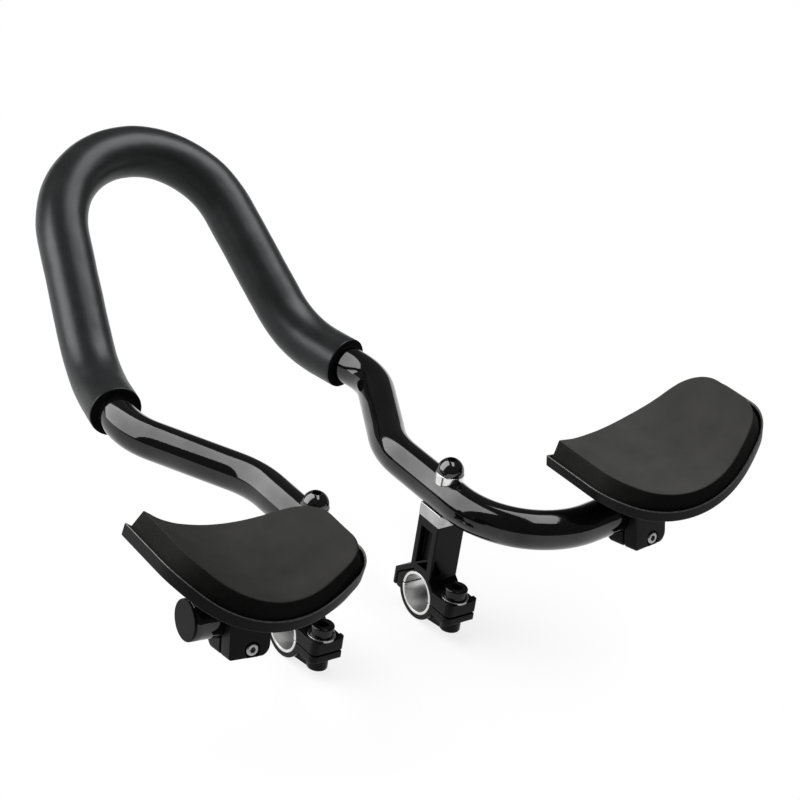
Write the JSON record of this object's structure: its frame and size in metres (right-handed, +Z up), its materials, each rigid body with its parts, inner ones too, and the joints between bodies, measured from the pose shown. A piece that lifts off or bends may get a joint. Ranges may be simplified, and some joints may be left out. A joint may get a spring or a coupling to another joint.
{
  "type": "aero handlebar extension",
  "caption": "Clip-on aero bar: a bent tube with a foam covered U grip, posts that clamp to a round handlebar, and cupped padded arm rests on its tails.",
  "frame": {"origin": "on the axis of the two handlebar clamps, midway between them", "axes": "+X along the clamped handlebar to the rider's right, +Y forward to the grip, +Z up along the posts"},
  "size_m": [0.3865, 0.4097, 0.18],
  "materials": {
    "gloss_black": "gloss black paint on aluminium alloy",
    "satin_black": "satin black on cast alloy",
    "silver_alloy": "turned, bright",
    "steel": "bright steel",
    "black_steel": "blackened steel, gloss",
    "black_plastic": "satin moulded",
    "foam": "closed cell foam, matte"
  },
  "bodies": {
    "bar": {"extension_tube": "gloss_black", "grip_foam": "foam", "end_plug_left": "black_plastic", "end_plug_right": "black_plastic", "riser_left": "satin_black", "riser_right": "satin_black", "clamp_jaw_left": "satin_black", "clamp_jaw_right": "satin_black", "shim_upper_left": "silver_alloy", "shim_upper_right": "silver_alloy", "shim_lower_left": "silver_alloy", "shim_lower_right": "silver_alloy", "clamp_washer_left": "steel", "clamp_washer_right": "steel", "clamp_bolt_left": "black_steel", "clamp_bolt_right": "black_steel", "saddle_left": "silver_alloy", "saddle_right": "silver_alloy", "saddle_washer_left": "silver_alloy", "saddle_washer_right": "silver_alloy", "post_bolt_left": "black_steel", "post_bolt_right": "black_steel"},
    "right_armrest": {"armrest_tray_right": "black_plastic", "arm_pad_right": "foam", "armrest_screw_right": "steel"},
    "left_armrest": {"armrest_tray_left": "black_plastic", "arm_pad_left": "foam", "armrest_screw_left": "steel"}
  },
  "joints": [
    {"name": "right_armrest_tilt", "type": "hinge", "parent": "bar", "child": "right_armrest", "pos_m": [0.1313, -0.05639, 0.06675], "axis": [0.9953, 0.0871, 0.0435], "range_deg": [-20, 20]},
    {"name": "left_armrest_tilt", "type": "hinge", "parent": "bar", "child": "left_armrest", "pos_m": [-0.1313, -0.05639, 0.06675], "axis": [0.9953, -0.0871, -0.0435], "range_deg": [-20, 20]}
  ]
}
